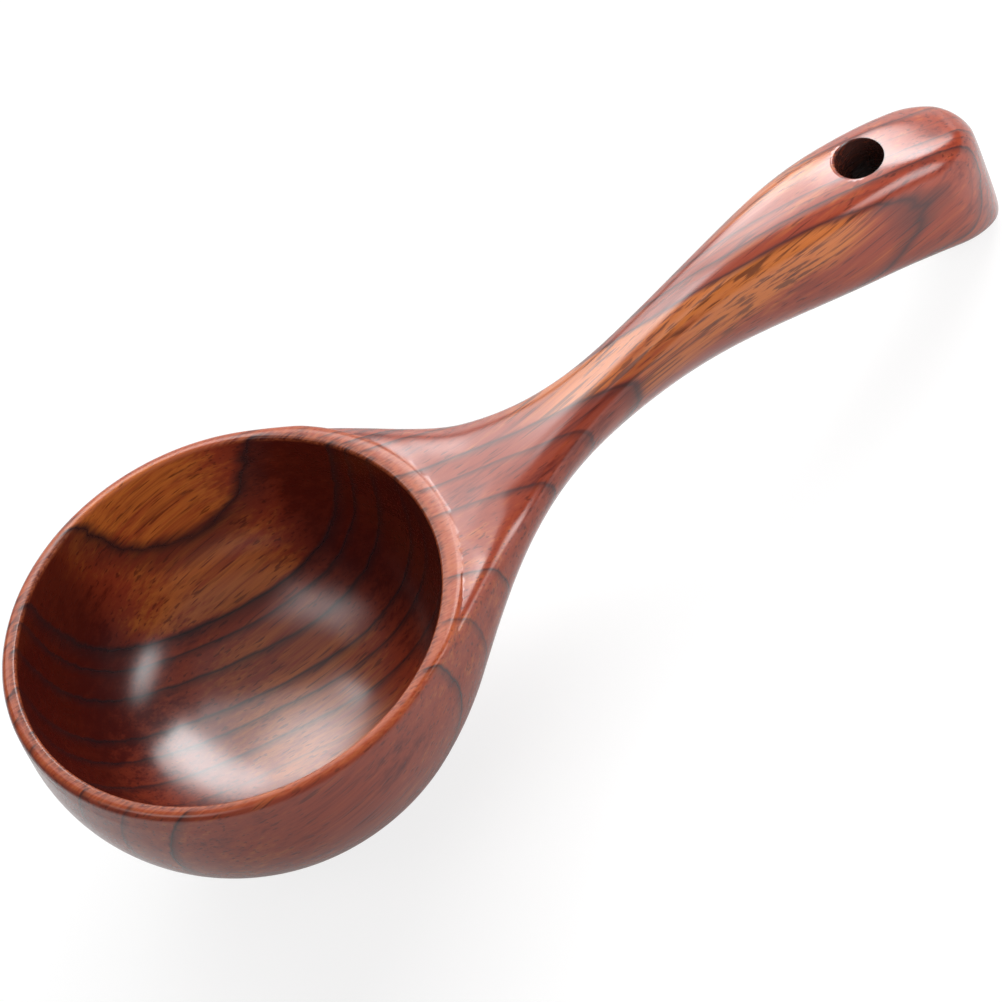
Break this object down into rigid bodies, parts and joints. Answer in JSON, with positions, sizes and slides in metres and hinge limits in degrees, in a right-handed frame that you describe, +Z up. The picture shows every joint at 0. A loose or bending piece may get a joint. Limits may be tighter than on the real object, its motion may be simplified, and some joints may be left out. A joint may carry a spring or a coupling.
{
  "type": "water ladle",
  "caption": "Wooden water ladle carved from one block: round thin-walled bowl, flared neck and S-curved handle with a hanging hole through its thick end, for scooping and pouring.",
  "frame": {"origin": "on the table, under the middle of the ladle's bounding box, with the ladle lying on the bowl's belly and the handle's heel", "axes": "+X from the bowl to the handle's end, +Z up from the table, +Y to the left of the handle; the ladle is the same on both sides of the XZ plane"},
  "size_m": [0.1856, 0.0782, 0.0536],
  "materials": {
    "wood": "clear gloss lacquer over dark red-brown wood with dark growth lines"
  },
  "bodies": {
    "root": {"ladle": "wood"}
  },
  "joints": []
}
